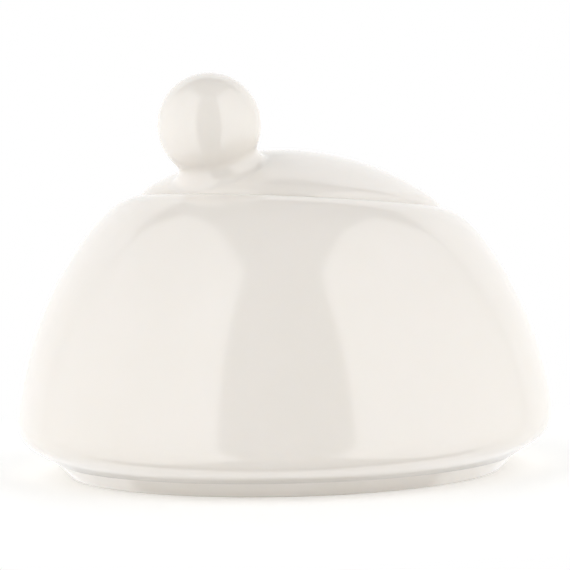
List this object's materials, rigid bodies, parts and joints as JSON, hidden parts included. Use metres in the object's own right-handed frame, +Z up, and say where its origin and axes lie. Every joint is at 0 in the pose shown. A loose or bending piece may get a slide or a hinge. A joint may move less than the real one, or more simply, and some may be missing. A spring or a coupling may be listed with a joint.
{
  "type": "sugar bowl",
  "caption": "Round covered sugar bowl with a dome-shaped body on a low foot ring, a gently sloping rim, and a lift-off domed lid with an off-centre ball knob.",
  "frame": {"origin": "centre of the foot ring's standing face", "axes": "+Z up; the rim's high side and the knob are towards -X, its low side towards +X"},
  "size_m": [0.11, 0.11, 0.0816],
  "materials": {
    "glazed_porcelain": "glossy clear glaze over ivory-white porcelain",
    "foot_porcelain": "glazed side over a bare, polished standing edge"
  },
  "bodies": {
    "bowl": {"bowl": "glazed_porcelain", "foot_ring": "foot_porcelain"},
    "lid_guide": {"locating_ring": "glazed_porcelain"},
    "lid": {"lid": "glazed_porcelain", "knob": "glazed_porcelain"}
  },
  "joints": [
    {"name": "lid_lift", "type": "slide", "parent": "bowl", "child": "lid_guide", "axis": [0.0976, 0, 0.9952], "range_m": [0, 0.06]},
    {"name": "lid_turn", "type": "hinge", "parent": "lid_guide", "child": "lid", "pos_m": [0.0034, 0, 0.0548], "axis": [0.0976, 0, 0.9952], "continuous": true}
  ]
}
